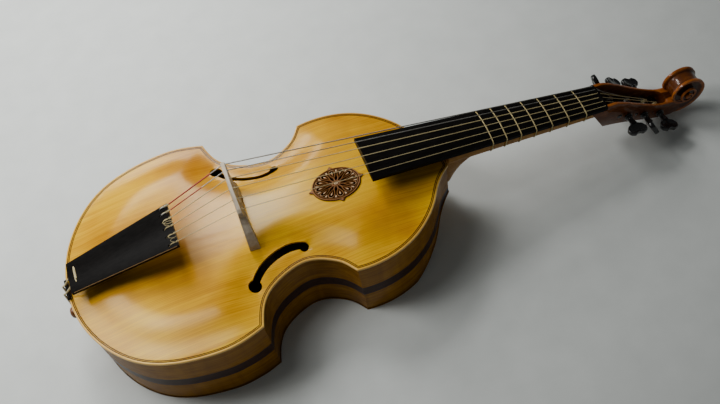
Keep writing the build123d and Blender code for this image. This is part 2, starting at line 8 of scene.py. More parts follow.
import bmesh
import bpy
import numpy as np
from mathutils import Matrix, Vector
from mathutils.bvhtree import BVHTree
from mathutils.geometry import delaunay_2d_cdt


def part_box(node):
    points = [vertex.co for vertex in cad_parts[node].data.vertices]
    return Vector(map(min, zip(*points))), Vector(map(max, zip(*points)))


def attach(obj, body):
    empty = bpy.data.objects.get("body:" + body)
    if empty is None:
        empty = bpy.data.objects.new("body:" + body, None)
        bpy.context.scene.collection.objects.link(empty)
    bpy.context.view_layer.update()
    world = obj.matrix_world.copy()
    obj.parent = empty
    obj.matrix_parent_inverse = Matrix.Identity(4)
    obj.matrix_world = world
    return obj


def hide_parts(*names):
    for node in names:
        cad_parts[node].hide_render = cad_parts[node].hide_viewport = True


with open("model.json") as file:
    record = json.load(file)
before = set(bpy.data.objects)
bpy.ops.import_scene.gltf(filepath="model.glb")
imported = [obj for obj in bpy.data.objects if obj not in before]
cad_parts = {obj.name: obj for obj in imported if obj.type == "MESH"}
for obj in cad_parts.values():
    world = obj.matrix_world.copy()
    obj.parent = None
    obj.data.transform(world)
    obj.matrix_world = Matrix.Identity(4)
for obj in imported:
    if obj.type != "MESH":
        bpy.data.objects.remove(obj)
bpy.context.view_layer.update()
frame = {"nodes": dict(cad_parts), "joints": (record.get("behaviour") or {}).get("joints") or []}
CAD = frame["nodes"]

ROOT = "root_body"
MM = 0.001
BACK_INSIDE = 0.0033            # just below the inside face of the flat back, which is 3.5 mm thick


# ---------------- camera, light and floor
TARGET = Vector((0.1935, -0.041, 0.150))
DISTANCE = 1.541
AZIMUTH, ELEVATION, ROLL = -0.1675, 0.9921, -0.2231     # radians
LENS = 45.07


def make_camera():
    flat = math.cos(ELEVATION)
    toward = Vector((math.sin(AZIMUTH) * flat, -math.cos(AZIMUTH) * flat, math.sin(ELEVATION)))
    data = bpy.data.cameras.new("camera")
    data.lens = LENS
    data.sensor_width = 36
    camera = bpy.data.objects.new("camera", data)
    bpy.context.scene.collection.objects.link(camera)
    camera.location = TARGET + toward * DISTANCE
    aim = (TARGET - camera.location).to_track_quat("-Z", "Y").to_matrix().to_4x4()
    camera.rotation_euler = (aim @ Matrix.Rotation(ROLL, 4, "Z")).to_euler()
    bpy.context.scene.camera = camera


PANEL_HEIGHT = 1.28
PANEL_COLOUR = (1, 0.99, 0.965)
WORLD_COLOUR = (0.86, 0.9, 0.9, 1)
WORLD_STRENGTH = 0.09
# two windows and two soft panels overhead: name, centre in plan, size, turn in degrees, power, shape
PANELS = [
    ("window_near", (-0.04, 0.86), (0.36, 0.40), 0, 9.6, "RECTANGLE"),
    ("window_far", (-0.28, 1.62), (0.62, 1.02), 0, 21, "RECTANGLE"),
    ("soft_left", (-0.79, 0.36), (0.94, 0.56), -42, 12, "ELLIPSE"),
    ("soft_middle", (-0.40, 0.05), (0.62, 0.38), -12, 3.6, "ELLIPSE"),
]


def make_lights():
    for name, centre, size, turn, power, shape in PANELS:
        data = bpy.data.lights.new(name, "AREA")
        data.shape = shape
        data.size, data.size_y = size
        data.energy = power
        data.color = PANEL_COLOUR
        light = bpy.data.objects.new(name, data)
        bpy.context.scene.collection.objects.link(light)
        light.location = (*centre, PANEL_HEIGHT)
        light.rotation_euler.z = math.radians(turn)
    world = bpy.data.worlds.new("studio")
    world.use_nodes = True
    background = world.node_tree.nodes["Background"]
    background.inputs["Color"].default_value = WORLD_COLOUR
    background.inputs["Strength"].default_value = WORLD_STRENGTH
    bpy.context.scene.world = world


def make_floor():
    """A pale sheet that turns up far behind the viol."""
    depth, rise, width, bend, steps = 3.0, 2.2, 4.0, 1.0, 8
    profile = [(-depth, 0.0), (depth - bend, 0.0)]
    for i in range(1, steps + 1):
        angle = math.pi / 2 * i / steps
        profile.append((depth - bend + bend * math.sin(angle), bend - bend * math.cos(angle)))
    profile.append((depth, rise))
    verts = [(side * width, y, z) for y, z in profile for side in (-1, 1)]
    faces = [(2 * i, 2 * i + 1, 2 * i + 3, 2 * i + 2) for i in range(len(profile) - 1)]
    mesh = bpy.data.meshes.new("floor")
    mesh.from_pydata(verts, [], faces)
    floor = bpy.data.objects.new("floor", mesh)
    bpy.context.scene.collection.objects.link(floor)
    floor.data.shade_smooth()
    look = Look("floor_paper")
    grain = look.noise(look.place((18, 18, 18)), 4)
    look.set("Base Color", look.ramp(grain, [(0.3, (0.66, 0.695, 0.68)), (0.7, (0.71, 0.745, 0.73))]))
    look.set("Roughness", 0.85)
    floor.data.materials.append(look.material)


# ---------------- materials
class Look:
    """A Principled material and the few nodes that feed it."""

    def __init__(self, name, **values):
        self.material = bpy.data.materials.new(name)
        self.material.use_nodes = True
        self.tree = self.material.node_tree
        self.shader = self.tree.nodes["Principled BSDF"]
        self.coordinates = None
        for key, value in values.items():
            self.set(key.replace("_", " "), value)

    def set(self, socket, value):
        if isinstance(value, bpy.types.NodeSocket):
            self.tree.links.new(value, self.shader.inputs[socket])
        elif isinstance(value, tuple):
            self.shader.inputs[socket].default_value = (*value, 1)
        else:
            self.shader.inputs[socket].default_value = value

    def node(self, kind, inputs, **settings):
        made = self.tree.nodes.new(kind)
        for key, value in settings.items():
            setattr(made, key, value)
        for key, value in inputs.items():
            if isinstance(value, bpy.types.NodeSocket):
                self.tree.links.new(value, made.inputs[key])
            else:
                made.inputs[key].default_value = value
        return made

    def place(self, size, shift=(0, 0, 0)):
        """Object coordinates, scaled: features per metre along each axis."""
        if self.coordinates is None:
            self.coordinates = self.tree.nodes.new("ShaderNodeTexCoord").outputs["Object"]
        return self.node("ShaderNodeMapping", {"Vector": self.coordinates, "Scale": size,
                                               "Location": shift}).outputs["Vector"]

    def noise(self, vector, detail=3.0, rough=0.5, warp=0.0):
        return self.node("ShaderNodeTexNoise", {"Vector": vector, "Scale": 1.0, "Detail": detail,
                                                "Roughness": rough, "Distortion": warp}).outputs["Fac"]

    def bands(self, vector, warp, detail):
        """Waves across X."""
        return self.node("ShaderNodeTexWave", {"Vector": vector, "Scale": 1.0, "Distortion": warp,
                                               "Detail": detail}, bands_direction="X").outputs["Fac"]

    def ramp(self, value, stops):
        made = self.node("ShaderNodeValToRGB", {"Fac": value})
        points = made.color_ramp.elements
        while len(points) < len(stops):
            points.new(0.5)
        for point, (where, colour) in zip(points, stops):
            point.position = where
            point.color = (*colour, 1)
        return made.outputs["Color"]

    def levels(self, value, low, high):
        """A 0-1 value moved to the range low-high."""
        made = self.node("ShaderNodeMapRange", {"Value": value, "To Min": low, "To Max": high})
        return made.outputs["Result"]

    def mix(self, amount, first, second, how="MIX"):
        """Two colours mixed; 0, 6 and 7 are the sockets for the amount and the colours, 2 the result's."""
        made = self.node("ShaderNodeMix", {}, data_type="RGBA", blend_type=how)
        for index, value in ((0, amount), (6, first), (7, second)):
            if isinstance(value, bpy.types.NodeSocket):
                self.tree.links.new(value, made.inputs[index])
            else:
                made.inputs[index].default_value = (*value, 1) if isinstance(value, tuple) else value
        return made.outputs[2]

    def bump(self, height, strength, distance):
        made = self.node("ShaderNodeBump", {"Height": height, "Strength": strength, "Distance": distance})
        self.tree.links.new(made.outputs["Normal"], self.shader.inputs["Normal"])

    def attribute(self, name):
        return self.node("ShaderNodeAttribute", {}, attribute_name=name).outputs["Fac"]


def spruce_top():
    """Fine straight grain under amber varnish, lighter where the edge is rubbed."""
    look = Look("spruce_amber", Coat_Weight=0.3, Coat_Roughness=0.18, Specular_IOR_Level=0.3,
                Specular_Tint=(1.0, 0.82, 0.36))
    fine = look.noise(look.place((5, 700, 30)), 3, 0.6)
    broad = look.noise(look.place((2.5, 120, 8)), 2, 0.5)
    cloud = look.noise(look.place((4, 6, 5), (1.7, 0.4, 0)), 4, 0.55)
    grain = look.ramp(fine, [(0.33, (0.60, 0.30, 0.002)), (0.5, (0.71, 0.385, 0.003)),
                             (0.68, (0.80, 0.465, 0.004))])
    rings = look.ramp(broad, [(0.38, (0.92, 0.87, 0.8)), (0.6, (1, 1, 1))])
    shade = look.ramp(cloud, [(0.34, (0.54, 0.34, 0.15)), (0.49, (0.93, 0.83, 0.7)),
                              (0.60, (1.1, 1.12, 1.0))])
    colour = look.mix(0.85, look.mix(1.0, grain, rings, "MULTIPLY"), shade, "MULTIPLY")
    paler = look.mix(look.attribute("edge"), colour, (0.80, 0.50, 0.15))
    look.set("Base Color", paler)
    look.set("Roughness", look.levels(cloud, 0.2, 0.27))
    look.bump(fine, 0.06, 0.0003)
    return look.material


def maple(name, dark, light, curl=55.0, gloss=0.18, inside=None, coat=0.4):
    """Varnished maple with a curly figure across the grain; above the height inside it is unvarnished and
    painted dark as the shade inside the body.
    """
    look = Look(name, Coat_Weight=coat, Coat_Roughness=gloss, Specular_IOR_Level=0.0)
    grain = look.noise(look.place((6, 60, 260)), 4, 0.6)
    figure = look.noise(look.place((curl, 4, 5)), 2, 0.4, 0.6)
    cloud = look.noise(look.place((7, 7, 7)), 3)
    base = look.ramp(grain, [(0.3, dark), (0.7, light)])
    flame = look.ramp(figure, [(0.35, (0.78, 0.73, 0.68)), (0.65, (1.1, 1.1, 1.06))])
    shade = look.ramp(cloud, [(0.3, (0.72, 0.68, 0.62)), (0.7, (1.1, 1.1, 1.08))])
    colour = look.mix(0.8, look.mix(0.55, base, flame, "MULTIPLY"), shade, "MULTIPLY")
    if inside is not None:
        height = look.node("ShaderNodeSeparateXYZ", {"Vector": look.place((1, 1, 1))}).outputs["Z"]
        # above the back's inside face the wood is painted near black: painted shade inside the body
        shaded_inside = look.node("ShaderNodeMath", {0: height, 1: inside}, operation="GREATER_THAN").outputs[0]
        colour = look.mix(shaded_inside, colour, (0.035, 0.022, 0.013))
    look.set("Base Color", colour)
    look.set("Roughness", look.levels(cloud, 0.36, 0.5))
    look.bump(grain, 0.05, 0.0003)
    return look.material


def head_maple():
    """Dark red-brown varnish, orange on the rims from rubbing; painted shade in the hollows and a painted
    highlight on the rims.
    """
    look = Look("maple_red", Coat_Weight=0.5, Coat_Roughness=0.09, Specular_IOR_Level=0.1)
    grain = look.noise(look.place((60, 260, 200)), 4, 0.6)
    cloud = look.noise(look.place((30, 30, 30)), 3)
    base = look.ramp(grain, [(0.3, (0.13, 0.034, 0.006)), (0.7, (0.27, 0.082, 0.012))])
    shade = look.ramp(cloud, [(0.3, (0.66, 0.6, 0.55)), (0.7, (1.12, 1.1, 1.05))])
    # painted light: rims lightened, partly rubbed and partly a painted highlight; hollows darkened as painted
    # shade
    rubbed_and_shaded = look.ramp(look.attribute("relief"), [(0.0, (0.16, 0.12, 0.1)), (0.5, (0.8, 0.76, 0.7)),
                                                  (1.0, (1.9, 1.9, 1.6))])
    look.set("Base Color", look.mix(1.0, look.mix(0.8, base, shade, "MULTIPLY"), rubbed_and_shaded, "MULTIPLY"))
    look.set("Roughness", look.levels(cloud, 0.35, 0.5))
    look.bump(grain, 0.06, 0.0003)
    return look.material


def plain_wood(name, dark, light, streak=(12, 260, 260), rough=(0.3, 0.5), coat=0.0, bump=0.15, gloss=0.3):
    """Straight-grained wood of one colour, with or without varnish."""
    look = Look(name, Coat_Weight=coat, Coat_Roughness=0.12, Specular_IOR_Level=gloss)
    grain = look.noise(look.place(streak), 4, 0.6)
    cloud = look.noise(look.place((14, 14, 14)), 3)
    base = look.ramp(grain, [(0.3, dark), (0.7, light)])
    shade = look.ramp(cloud, [(0.3, (0.75, 0.73, 0.7)), (0.7, (1.08, 1.08, 1.08))])
    look.set("Base Color", look.mix(0.7, base, shade, "MULTIPLY"))
    look.set("Roughness", look.levels(cloud, *rough))
    look.bump(grain, bump, 0.0003)
    return look.material


def rosette_wood():
    """Painted shade, dark brown, in the hollows; cream where the carving stands proud, paler still on the
    crests as a painted highlight.
    """
    look = Look("rosette_carving", Roughness=0.45, Specular_IOR_Level=0.25)
    grain = look.noise(look.place((60, 500, 60)), 3)
    height = look.attribute("relief")
    base = look.ramp(height, [(0.0, (0.03, 0.008, 0.002)), (0.4, (0.12, 0.036, 0.006)),
                              (0.7, (0.33, 0.14, 0.034)), (0.97, (0.72, 0.54, 0.34))])
    shade = look.ramp(grain, [(0.3, (0.7, 0.68, 0.64)), (0.7, (1.1, 1.1, 1.1))])
    look.set("Base Color", look.mix(0.5, base, shade, "MULTIPLY"))
    look.bump(grain, 0.2, 0.0003)
    return look.material


def gut_look(name, dark, light, lay=900.0, rough=(0.3, 0.5), metallic=0.0):
    """Twisted gut, or close winding: fine bands round the string."""
    look = Look(name, Metallic=metallic)
    bands = look.bands(look.place((lay, lay * 0.25, lay * 0.25)), 0.6, 1)
    cloud = look.noise(look.place((60, 60, 60)), 3)
    base = look.ramp(cloud, [(0.3, dark), (0.7, light)])
    tone = look.ramp(bands, [(0.1, (0.72, 0.7, 0.66)), (0.6, (1.06, 1.06, 1.04))])
    look.set("Base Color", look.mix(0.7, base, tone, "MULTIPLY"))
    look.set("Roughness", look.levels(cloud, *rough))
    look.bump(bands, 0.35, 0.0002)
    return look.material


MAPLE_BROWN = (0.20, 0.078, 0.002), (0.36, 0.165, 0.004)


def make_materials():
    return {
        "top": spruce_top(),
        "maple": maple("maple_brown", *MAPLE_BROWN),
        # the back's inside face is painted dark as shade inside the body
        "back": maple("maple_back", *MAPLE_BROWN, inside=BACK_INSIDE, coat=0.0),
        "neck": maple("maple_gold", (0.33, 0.145, 0.028), (0.52, 0.27, 0.065), 70, 0.2),
        "head": head_maple(),
        "inlay": plain_wood("inlay_dark", (0.026, 0.009, 0.006), (0.055, 0.020, 0.012), coat=0.2, gloss=0.05),
        # the wood inside the body is painted near black: painted shade seen through the sound holes
        "inner": plain_wood("inside_painted_shade", (0.030, 0.018, 0.010), (0.055, 0.034, 0.018), rough=(0.7, 0.9),
                            gloss=0.1),
        "ebony": plain_wood("ebony_black", (0.003, 0.0027, 0.0027), (0.009, 0.008, 0.0075), (8, 300, 300),
                            (0.3, 0.44), bump=0.06, gloss=0.04),
        "peg": plain_wood("peg_black", (0.004, 0.004, 0.0045), (0.012, 0.011, 0.012), (90, 90, 90),
                          (0.16, 0.28), 0.3, bump=0.03, gloss=0.4),
        "bridge": plain_wood("bridge_maple", (0.42, 0.35, 0.26), (0.62, 0.55, 0.44), (200, 30, 200),
                             (0.45, 0.65)),
        "button": plain_wood("button_brown", (0.14, 0.05, 0.014), (0.26, 0.10, 0.03), (40, 200, 200),
                             (0.2, 0.35), 0.5),
        "line": plain_wood("edge_line", (0.30, 0.17, 0.07), (0.44, 0.28, 0.13), (60, 300, 300)),
        "bone": plain_wood("ivory_bar", (0.62, 0.50, 0.24), (0.72, 0.62, 0.36), (200, 20, 200),
                           (0.25, 0.4), 0.3),
        "rosette": rosette_wood(),
        "gut": gut_look("gut_yellow", (0.50, 0.40, 0.19), (0.66, 0.56, 0.30)),
        "fret": gut_look("gut_fret", (0.58, 0.46, 0.20), (0.72, 0.60, 0.30), 1400),
        "wound": gut_look("wound_metal", (0.34, 0.33, 0.31), (0.52, 0.50, 0.47), 1800, (0.3, 0.42), 0.85),
        "silk": gut_look("red_silk", (0.30, 0.02, 0.03), (0.42, 0.04, 0.045), 1600, (0.55, 0.75)),
    }


def dress(node, material):
    """Give a CAD node's own mesh a material."""
    slots = CAD[node].material_slots
    if not slots:
        CAD[node].data.materials.append(material)
    for slot in slots:
        slot.material = material


# ---------------- mesh helpers
def around(count):
    """Angles evenly round a circle."""
    return [2 * math.pi * i / count for i in range(count)]


class Shape:
    """Vertices and faces of one piece, gathered from several closed forms."""

    def __init__(self):
        self.verts = []
        self.faces = []

    def add(self, verts, faces):
        start = len(self.verts)
        self.verts += [Vector(v) for v in verts]
        self.faces += [tuple(start + i for i in face) for face in faces]

    def rings(self, rings, closed=False):
        """Skin over closed rings of points, capped at both ends unless the row of rings is closed."""
        count, size = len(rings), len(rings[0])
        faces = []
        for i in range(count if closed else count - 1):
            j = (i + 1) % count
            for k in range(size):
                n = (k + 1) % size
                faces.append((i * size + k, i * size + n, j * size + n, j * size + k))
        if not closed:
            faces.append(tuple(reversed(range(size))))
            faces.append(tuple(range((count - 1) * size, count * size)))
        self.add([p for ring in rings for p in ring], faces)

    def tube(self, points, radius, sides=10, closed=False):
        """A round tube along points; radius is one number or one for each point."""
        points = [Vector(p) for p in points]
        radii = radius if isinstance(radius, (list, tuple)) else [radius] * len(points)
        count = len(points)
        normal = None
        rings = []
        for i, point in enumerate(points):
            before = points[i - 1] if i or closed else points[0]
            after = points[(i + 1) % count] if i < count - 1 or closed else points[-1]
            along = (after - before).normalized()
            if normal is None:
                normal = along.orthogonal()
            normal = (normal - along * normal.dot(along)).normalized()
            other = along.cross(normal)
            rings.append([point + (normal * math.cos(a) + other * math.sin(a)) * radii[i]
                          for a in around(sides)])
        self.rings(rings, closed=closed)

    def lathe(self, origin, axis, profile, sides=40):
        """A turned form: profile is (distance along the axis, radius) pairs."""
        axis = Vector(axis).normalized()
        first = axis.orthogonal().normalized()
        second = axis.cross(first)
        rings = []
        for along, radius in profile:
            middle = Vector(origin) + axis * along
            rings.append([middle + (first * math.cos(a) + second * math.sin(a)) * radius
                          for a in around(sides)])
        self.rings(rings)

    def make(self, name, material, body, slot, replaces=(), sharp=40, attribute=None):
        """The piece's object, on its body; attribute is the name and values of a number at each point."""
        mesh = bpy.data.meshes.new(name)
        mesh.from_pydata(self.verts, [], self.faces)
        tidy = bmesh.new()
        tidy.from_mesh(mesh)
        bmesh.ops.recalc_face_normals(tidy, faces=tidy.faces)
        tidy.to_mesh(mesh)
        tidy.free()
        mesh.materials.append(material)
        mesh.shade_smooth()
        mesh.set_sharp_from_angle(angle=math.radians(sharp))
        if attribute:
            key, values = attribute
            mesh.attributes.new(key, "FLOAT", "POINT").data.foreach_set("value", values)
        piece = bpy.data.objects.new(name, mesh)
        bpy.context.scene.collection.objects.link(piece)
        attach(piece, body)
        if replaces:
            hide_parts(*replaces)


def lerp(a, b, t):
    return a + (b - a) * t


def smooth_step(t):
    t = min(1.0, max(0.0, t))
    return t * t * (3 - 2 * t)


def crossings(node, x):
    """Where the edges of a CAD node cross the plane at X."""
    mesh = CAD[node].data
    found = []
    for edge in mesh.edges:
        a, b = (mesh.vertices[i].co for i in edge.vertices)
        if (a.x - x) * (b.x - x) < 0:
            found.append(a.lerp(b, (x - a.x) / (b.x - a.x)))
    return found


def centre_at(node, x):
    """Centre of a slender CAD node at X."""
    found = crossings(node, x)
    low = Vector([min(p[k] for p in found) for k in range(3)])
    high = Vector([max(p[k] for p in found) for k in range(3)])
    return (low + high) / 2


def top_at(node, x):
    """Height of the highest point of a CAD node at X."""
    return max(p.z for p in crossings(node, x))


# ---------------- arched top
DEPTH = 0.150                   # height of the top's edge
PLATE = 0.004                   # thickness of the top
ARCH = 0.017                    # rise of the middle over the edge
FLAT_EDGE, ARCH_RUN = 0.009, 0.070      # width of the level margin, and of the rise inside it
DOME_LONG, DOME_WIDE = (0.32, 0.02, 0.34), (0.30, 0.0, 0.20)    # fall along X and Y: share, middle, reach
EDGE_ROUND = 0.0016             # radius of the rounded edge
EDGE_RINGS = (0.00056, 0.0016, 0.0036, 0.0052, 0.0076)  # depths of the rings of points in the level margin
EDGE_STEP, STEP = 0.003, 0.005  # spacing of the top's mesh, along its edges and inside them
SMOOTH_ROUNDS, SMOOTH_SHARE = 12, 0.6
WORN_EDGE, WORN = 0.0035, 0.8   # width of the rubbed edge, and how rubbed it is
PURFLING_DEPTHS = (0.0042, 0.0066)
PURFLING_HALF = 0.00075         # half the width of a line
PURFLING_STEP = 0.002
PURFLING_LOW, PURFLING_HIGH = DEPTH - 0.0008, DEPTH + 0.0001


def rims(node):
    """Closed loops of (x, y) where a CAD node's upright walls meet its upper face, longest first."""
    mesh = CAD[node].data
    grid, fewest, gap = 20000, 8, 0.02      # cells in a metre, points in a loop and its widest opening
    keys = [tuple(round(c * grid) for c in v.co) for v in mesh.vertices]
    place = {key: v.co for key, v in zip(keys, mesh.vertices)}
    sides = {}
    for face in mesh.polygons:
        kind = "wall" if abs(face.normal.z) < 0.1 else "top" if face.normal.z > 0 else "under"
        for a, b in face.edge_keys:
            if keys[a] != keys[b]:
                sides.setdefault(frozenset((keys[a], keys[b])), set()).add(kind)
    links = {}
    for edge, kinds in sides.items():
        if {"wall", "top"} <= kinds:
            a, b = edge
            links.setdefault(a, set()).add(b)
            links.setdefault(b, set()).add(a)
    loops = []
    while links:
        key = min(links)
        loop = []
        while key is not None:
            loop.append(place[key].xy)
            ahead = [n for n in links.pop(key) if n in links]
            key = min(ahead) if ahead else None
        loops.append(loop)
    whole = [loop for loop in loops if len(loop) > fewest and (loop[0] - loop[-1]).length < gap]
    return sorted(whole, key=lambda loop: min(p.x for p in loop) - max(p.x for p in loop))


def resample(loop, step):
    """Points at most one step apart round a loop, its corners kept."""
    points = []
    for a, b in zip(loop, loop[1:] + loop[:1]):
        count = max(1, math.ceil((b - a).length / step))
        points += [a.lerp(b, i / count) for i in range(count)]
    return points


def inward(loop):
    """Unit vectors that point into a loop, one at each of its points."""
    turn = 1 if sum(a.x * b.y - a.y * b.x for a, b in zip(loop, loop[1:] + loop[:1])) > 0 else -1
    ways = []
    for i in range(len(loop)):
        along = (loop[(i + 1) % len(loop)] - loop[i - 1]).normalized()
        ways.append(Vector((-along.y, along.x)) * turn)
    return ways


def inside(points, loop):
    """Which of the points lie inside a loop."""
    x, y = points[:, 0], points[:, 1]
    hit = np.zeros(len(points), bool)
    for a, b in zip(loop, loop[1:] + loop[:1]):
        if a.y != b.y:
            hit ^= ((a.y > y) != (b.y > y)) & (x < (b.x - a.x) * (y - a.y) / (b.y - a.y) + a.x)
    return hit


def distance_to(points, loop):
    """Distance from each point to the nearest run of a loop."""
    best = np.full(len(points), np.inf)
    for a, b in zip(loop, loop[1:] + loop[:1]):
        a, run = np.array(a), np.array(b - a)
        t = np.clip(((points - a) @ run) / max(run @ run, 1e-12), 0, 1)
        best = np.minimum(best, np.linalg.norm(points - a - t[:, None] * run, axis=1))
    return best


def arch_height(points, distance):
    """The CAD top's arching: level round the edge, then a smooth rise to the middle."""
    rise = np.clip((distance - FLAT_EDGE) / ARCH_RUN, 0, 1)
    rise = rise * rise * (3 - 2 * rise)
    dome = np.ones(len(points))
    for axis, (share, middle, reach) in enumerate((DOME_LONG, DOME_WIDE)):
        dome -= share * ((points[:, axis] - middle) / reach) ** 2
    return DEPTH + ARCH * rise * dome


def top_mesh():
    """The plate's outside face as points and triangles, with each point's distance to the edge."""
    edge, *openings = [resample(loop, EDGE_STEP) for loop in rims("top_plate")]
    points, lines = [], []
    for loop in [edge] + openings:
        start = len(points)
        points += loop
        lines += [(start + i, start + (i + 1) % len(loop)) for i in range(len(loop))]
    extra = [here + way * depth for here, way in zip(edge, inward(edge)) for depth in EDGE_RINGS]
    low = Vector([min(p[k] for p in edge) for k in (0, 1)])
    high = Vector([max(p[k] for p in edge) for k in (0, 1)])
    for i in range(int((high.x - low.x) / STEP) + 1):
        for j in range(int((high.y - low.y) / STEP) + 1):
            extra.append(low + Vector((i, j + 0.5 * (i % 2))) * STEP)
    flat = np.array(extra)
    is_ring = np.arange(len(flat)) < len(EDGE_RINGS) * len(edge)
    clear = np.where(is_ring, EDGE_ROUND * 0.3, EDGE_RINGS[-1] + EDGE_STEP / 2)
    keep = inside(flat, edge) & (distance_to(flat, edge) > clear)
    for loop in openings:
        keep &= ~inside(flat, loop) & (distance_to(flat, loop) > STEP / 2)
    points += [Vector(p) for p in flat[keep]]
    found = delaunay_2d_cdt(points, lines, [], 0, 1e-7)
    flat = np.array(found[0])
    faces = np.array([face for face in found[2] if len(face) == 3])
    middle = flat[faces].mean(axis=1)
    good = inside(middle, edge)
    for loop in openings:
        good &= ~inside(middle, loop)
    return flat, faces[good], distance_to(flat, edge)


def smoothed(height, faces, fixed):
    """Heights evened out with their neighbours', except where they are fixed."""
    pairs = np.concatenate([faces[:, [0, 1]], faces[:, [1, 2]], faces[:, [2, 0]]])
    pairs = np.concatenate([pairs, pairs[:, ::-1]])
    degree = np.maximum(np.bincount(pairs[:, 0], minlength=len(height)), 1)
    for _ in range(SMOOTH_ROUNDS):
        mean = np.bincount(pairs[:, 0], height[pairs[:, 1]], len(height)) / degree
        height = np.where(fixed, height, (1 - SMOOTH_SHARE) * height + SMOOTH_SHARE * mean)
    return height


def make_top(look):
    """The arched plate, rounded at its edge and open at the sound holes and the rosette."""
    flat, faces, distance = top_mesh()
    height = smoothed(arch_height(flat, distance), faces, distance < FLAT_EDGE)
    drop = EDGE_ROUND * (1 - np.sqrt(np.clip(1 - (1 - distance / EDGE_ROUND) ** 2, 0, 1)))
    upper = np.where(distance < EDGE_ROUND, height - drop, height)
    used = np.zeros(len(flat), bool)
    used[faces.ravel()] = True
    order = np.cumsum(used) - 1
    flat, height, upper, distance = flat[used], height[used], upper[used], distance[used]
    faces = order[faces]
    count = len(flat)
    shape = Shape()
    top = np.column_stack([flat, upper])
    under = np.column_stack([flat, height - PLATE])
    triangles = faces.tolist()
    pairs = [pair for a, b, c in triangles for pair in ((a, b), (b, c), (c, a))]
    known = set(pairs)
    walls = [(b, a, a + count, b + count) for a, b in pairs if (b, a) not in known]
    shape.add(np.concatenate([top, under]).tolist(),
              triangles + [(c + count, b + count, a + count) for a, b, c in triangles] + walls)
    paler = np.clip(1 - distance / WORN_EDGE, 0, 1) * WORN
    shape.make("top_arched", look["top"], ROOT, "spruce_top", ["top_plate"], 38,
               ("edge", np.concatenate([paler, paler])))


def make_purfling(look):
    """Two dark lines let into the level margin, following the edge round the corners."""
    edge = resample(rims("top_plate")[0], PURFLING_STEP)
    ways = inward(edge)
    shape = Shape()
    for depth in PURFLING_DEPTHS:
        path = [here + way * depth for here, way in zip(edge, ways)]
        clear = distance_to(np.array(path), edge) > depth * 0.985
        path = [p for p, good in zip(path, clear) if good]
        rings = []
        for i, here in enumerate(path):
            along = (path[(i + 1) % len(path)] - path[i - 1]).normalized()
            across = Vector((-along.y, along.x)) * PURFLING_HALF
            a, b = here - across, here + across
            rings.append([Vector((*a, PURFLING_LOW)), Vector((*a, PURFLING_HIGH)),
                          Vector((*b, PURFLING_HIGH)), Vector((*b, PURFLING_LOW))])
        shape.rings(rings, closed=True)
    shape.make("purfling_lines", look["inlay"], ROOT, "dark_inlay", ["purfling"])


# ---------------- rosette
ROSE_PETALS = 12
ROSE_STRETCH = 1.32             # length along the strings over width
ROSE_TIP, ROSE_RING = 38.5, 33  # how far the cusps and the outer ring reach across, in millimetres


